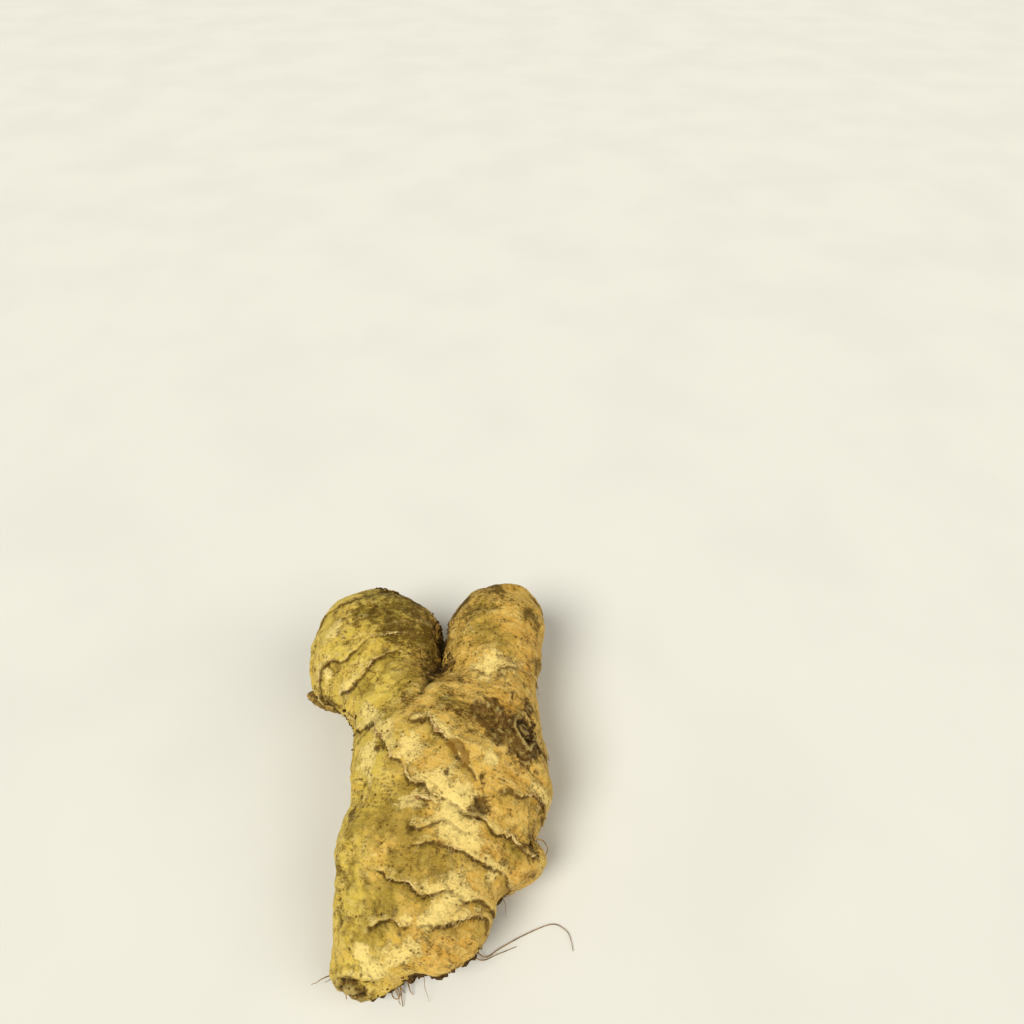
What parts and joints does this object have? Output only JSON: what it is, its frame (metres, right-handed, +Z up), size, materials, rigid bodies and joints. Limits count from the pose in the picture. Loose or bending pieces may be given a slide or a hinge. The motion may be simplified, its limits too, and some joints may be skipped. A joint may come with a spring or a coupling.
{
  "type": "ginger root",
  "caption": "Fresh ginger root lying down: a broad old body with a blunt finger and a round knob beside it, ringed with scale scars and short root stubs.",
  "frame": {"origin": "centre of the bounding box, at the height of the table that the rhizome lies on", "axes": "+X to the right, +Y along the rhizome from its nub to the young lobes, +Z up from the table"},
  "size_m": [0.0708, 0.1082, 0.0364],
  "materials": {
    "skin": "dry, thin, matte skin, buff to tan, with corky rings and traces of soil",
    "root": "dry, fibrous root threads and papery scale edges",
    "soil": "dry crumbs of dark soil"
  },
  "bodies": {
    "root": {"rhizome": "skin"}
  },
  "joints": []
}
